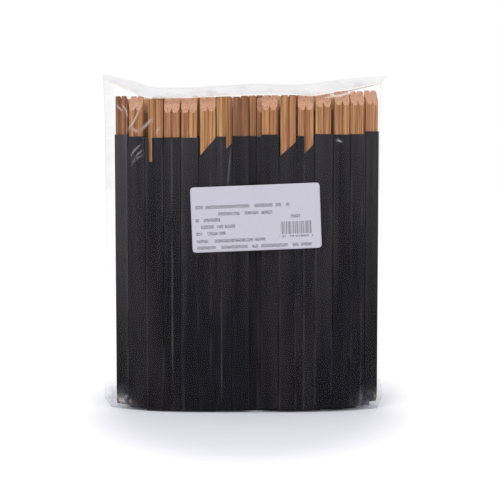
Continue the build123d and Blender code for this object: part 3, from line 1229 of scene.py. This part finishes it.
        # Painted highlight along the fold at the eaves.
        if 0 <= rim <= 1:
            gleam = self.eave_gleam if rim == 0 else self.over_eave_gleam
        # Painted highlights along the creases.
        if side < 0:
            for crease in self.creases:
                strength = crease.strength(x, z)
                shift += crease.height * strength
                gleam = max(gleam, crease.gleam * strength)
        return Vector((x, point.y + side * shift, z)), haze, gleam

    def build(self) -> None:
        """Make the film and hide the CAD bag."""
        shape = bmesh.new()
        haze_layer = shape.verts.layers.float.new("haze")
        gleam_layer = shape.verts.layers.float.new("gleam")
        circle = bmesh.ops.create_circle(shape, segments=2 * self.columns, radius=1.0)["verts"]
        rings = [sorted(circle, key=lambda v: math.atan2(v.co.y, v.co.x))]
        edges = list(shape.edges)
        for _ in range(self.foot_rows + self.wall_rows + self.roof_rows - 1):
            verts, edges = next_ring(shape, edges)
            rings.append(sorted(verts, key=lambda v: math.atan2(v.co.y, v.co.x)))
        cache: dict[int, tuple] = {}
        for row, ring in enumerate(rings, 1):
            for index, vert in enumerate(ring):
                side = -1 if index < self.columns else 1
                column = index if side < 0 else 2 * self.columns - index
                share = self.column_share(column)
                point = self.surface(share, row, side, cache)
                vert.co, vert[haze_layer], vert[gleam_layer] = self.dress_point(point, side, row, share)
        for ring in (rings[0], rings[-1]):
            for column in range(1, self.columns):
                lower, upper = ring[column], ring[2 * self.columns - column]
                if column == 1:
                    shape.faces.new((ring[0], lower, upper))
                else:
                    shape.faces.new((ring[column - 1], lower, upper, ring[2 * self.columns - column + 1]))
            shape.faces.new((ring[self.columns - 1], ring[self.columns], ring[self.columns + 1]))
        bmesh.ops.recalc_face_normals(shape, faces=shape.faces)
        for face in shape.faces:
            face.smooth = True
        finish_mesh(shape, "film_bag", self.finish.build(), ("bag",))


@dataclass
class Label:
    """The pale label close in front of the film, with slow ripples of its own."""

    film: Film
    width: float = 99 * MM
    height: float = 50 * MM
    corner: float = 2.5 * MM
    lift: float = 0.25 * MM
    thickness: float = 0.10 * MM
    tilt: float = math.radians(2.3)
    cells_x: int = 76
    cells_y: int = 40
    bars: tuple[tuple[Area, float], ...] = (
        ((-0.0101, 0.0094, 0.0720, 0.0026), 1.05 * MM),
        ((-0.0074, 0.0040, 0.0430, 0.0026), 1.05 * MM),
        ((-0.0369, -0.0005, 0.0190, 0.0026), 1.05 * MM),
        ((0.0295, 0.0003, 0.0085, 0.0026), 1.05 * MM),
        ((-0.0295, -0.0057, 0.0340, 0.0026), 1.05 * MM),
        ((-0.0340, -0.0108, 0.0246, 0.0026), 1.05 * MM),
        ((-0.0197, -0.0166, 0.0530, 0.0026), 1.05 * MM),
        ((-0.0008, -0.0216, 0.0905, 0.0026), 1.05 * MM),
        ((0.0300, -0.0150, 0.0255, 0.0016), 0.75 * MM),
    )
    stripes: Area = (0.0305, -0.0085, 0.0240, 0.0096)

    def build(self) -> None:
        """Make the label and hide the CAD one."""
        low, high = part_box("label")
        middle = Vector(((low.x + high.x) / 2, (low.z + high.z) / 2))
        shape = bmesh.new()
        place = shape.verts.layers.float_vector.new("sheet_place")
        bmesh.ops.create_grid(shape, x_segments=self.cells_x, y_segments=self.cells_y, size=0.5)
        turn = Matrix.Rotation(self.tilt, 2)
        inner = Vector((self.width / 2 - self.corner, self.height / 2 - self.corner))
        for vert in shape.verts:
            flat = Vector((vert.co.x * self.width, vert.co.y * self.height))
            over = Vector((max(0.0, abs(flat.x) - inner.x), max(0.0, abs(flat.y) - inner.y)))
            if over.x > 0 and over.y > 0:
                square = max(over.x, over.y)
                over *= square / over.length
                rounded = inner + over
                flat = Vector((math.copysign(rounded.x, flat.x), math.copysign(rounded.y, flat.y)))
            vert[place] = (flat.x, flat.y, 0.0)
            spot = turn @ flat + middle
            vert.co = (spot.x, self.film.front_depth(spot.x, spot.y) - self.lift, spot.y)
        bmesh.ops.recalc_face_normals(shape, faces=shape.faces)
        if sum(face.normal.y for face in shape.faces) > 0:
            bmesh.ops.reverse_faces(shape, faces=shape.faces)
        bmesh.ops.solidify(shape, geom=shape.faces, thickness=-self.thickness)
        for face in shape.faces:
            face.smooth = True
        finish = LabelFinish(bars=self.bars, stripes=self.stripes)
        finish_mesh(shape, "label_sheet", finish.build(), ("label",))


@dataclass
class Studio:
    """White floor and backdrop, plain soft light and the camera."""

    camera_place: tuple[float, float, float] = (0.0014, -1.0, 0.200)
    pitch: float = math.radians(4.32)
    lens: float = 92.0
    sensor: float = 36.0
    floor_size: float = 12.0
    shadow_reach: tuple[float, float] = (0.165, 0.26)
    shadow_fade: tuple[float, float] = (0.50, 1.0)
    floor_glow: float = 0.42
    world_strength: float = 0.72
    white: Colour = (1.0, 1.0, 1.0, 1.0)

    def world(self) -> None:
        """White surroundings that light the object evenly and show white to the camera."""
        world = bpy.data.worlds.new("studio_white")
        world.use_nodes = True
        world.node_tree.nodes.clear()
        wiring = Wiring(world.node_tree)
        output = world.node_tree.nodes.new("ShaderNodeOutputWorld")
        paths = wiring.add(Node.LIGHT_PATH)
        seen = wiring.math("MAXIMUM", paths.outputs["Is Camera Ray"], paths.outputs["Is Transmission Ray"])
        seen = wiring.math("MAXIMUM", seen, paths.outputs["Is Glossy Ray"])
        strength = wiring.spread(seen, 0.0, 1.0, self.world_strength, 1.0)
        background = world.node_tree.nodes.new("ShaderNodeBackground")
        background.inputs["Color"].default_value = self.white
        wiring.link(strength, background.inputs["Strength"])
        wiring.link(background.outputs[0], output.inputs["Surface"])
        bpy.context.scene.world = world

    def floor(self) -> None:
        """A broad white floor that keeps the object's shadow, and greys round the object with a painted
        shadow where its glow is held back.
        """
        material, wiring, output = new_material("studio_floor")
        shader = wiring.add(Node.PRINCIPLED, Roughness=0.9)
        shader.inputs["Base Color"].default_value = (0.89, 0.89, 0.95, 1.0)
        shader.inputs["Specular IOR Level"].default_value = 0.0
        glow = wiring.add(Node.EMISSION)
        paths = wiring.add(Node.LIGHT_PATH)
        seen = wiring.math("MAXIMUM", paths.outputs["Is Camera Ray"], paths.outputs["Is Glossy Ray"])
        seen = wiring.math("MAXIMUM", seen, paths.outputs["Is Transmission Ray"])
        place = wiring.add(Node.SEPARATE)
        wiring.link(wiring.add(Node.COORDS).outputs["Object"], place.inputs[0])
        spans = []
        for axis, reach in enumerate(self.shadow_reach):
            share = wiring.math("ABSOLUTE", wiring.math("DIVIDE", place.outputs[axis], reach))
            spans.append(wiring.math("POWER", share, 2.0))
        away = wiring.math("SQRT", wiring.math("ADD", *spans))
        low, high = self.shadow_fade
        # Painted shadow: near the object the floor's glow for the camera is held back, so the floor greys
        # there.
        open_floor = wiring.spread(away, low, high, 0.0, self.floor_glow, smooth=True)
        wiring.link(wiring.math("MULTIPLY", seen, open_floor), glow.inputs["Strength"])
        both = wiring.add(Node.ADD_SHADER)
        wiring.link(shader.outputs[0], both.inputs[0])
        wiring.link(glow.outputs[0], both.inputs[1])
        wiring.link(both.outputs[0], output.inputs["Surface"])
        shape = bmesh.new()
        bmesh.ops.create_grid(shape, x_segments=1, y_segments=1, size=self.floor_size / 2)
        mesh = bpy.data.meshes.new("studio_floor")
        shape.to_mesh(mesh)
        shape.free()
        mesh.materials.append(material)
        floor = bpy.data.objects.new("studio_floor", mesh)
        bpy.context.scene.collection.objects.link(floor)

    def lamp(self, name: str, place: tuple[float, float, float], size: float, watts: float) -> None:
        """A soft square lamp that looks at the middle of the object.

        Args:
            name: The lamp's name.
            place: Where it hangs.
            size: Length of its side.
            watts: Its power.
        """
        light = bpy.data.lights.new(name, "AREA")
        light.size = size
        light.energy = watts
        lamp = bpy.data.objects.new(name, light)
        lamp.location = place
        aim = Vector((0, 0, 0.12)) - Vector(place)
        lamp.rotation_euler = aim.to_track_quat("-Z", "Y").to_euler()
        bpy.context.scene.collection.objects.link(lamp)

    def camera(self) -> None:
        """The camera, near the height of the sleeves' tops and looking slightly down."""
        data = bpy.data.cameras.new("camera")
        data.lens = self.lens
        data.sensor_width = self.sensor
        data.clip_end = 50.0
        camera = bpy.data.objects.new("camera", data)
        camera.location = self.camera_place
        camera.rotation_euler = (math.pi / 2 - self.pitch, 0.0, 0.0)
        bpy.context.scene.collection.objects.link(camera)
        bpy.context.scene.camera = camera

    def build(self) -> None:
        """Set the whole studio."""
        self.world()
        self.floor()
        self.lamp("key_lamp", (-0.7, -1.2, 1.3), 0.9, 9.0)
        self.lamp("fill_lamp", (1.0, -0.9, 0.8), 0.9, 4.0)
        self.camera()
        scene = bpy.context.scene
        scene.view_settings.view_transform = "Standard"
        scene.cycles.transparent_max_bounces = 24


def main() -> None:
    """Build the pack and its studio."""
    logging.basicConfig(level=logging.INFO, format="%(name)s: %(message)s")
    Studio().build()
    Chopsticks().build()
    Sleeves().build()
    film = Film()
    film.build()
    Label(film).build()


if __name__ == "__main__":
    main()
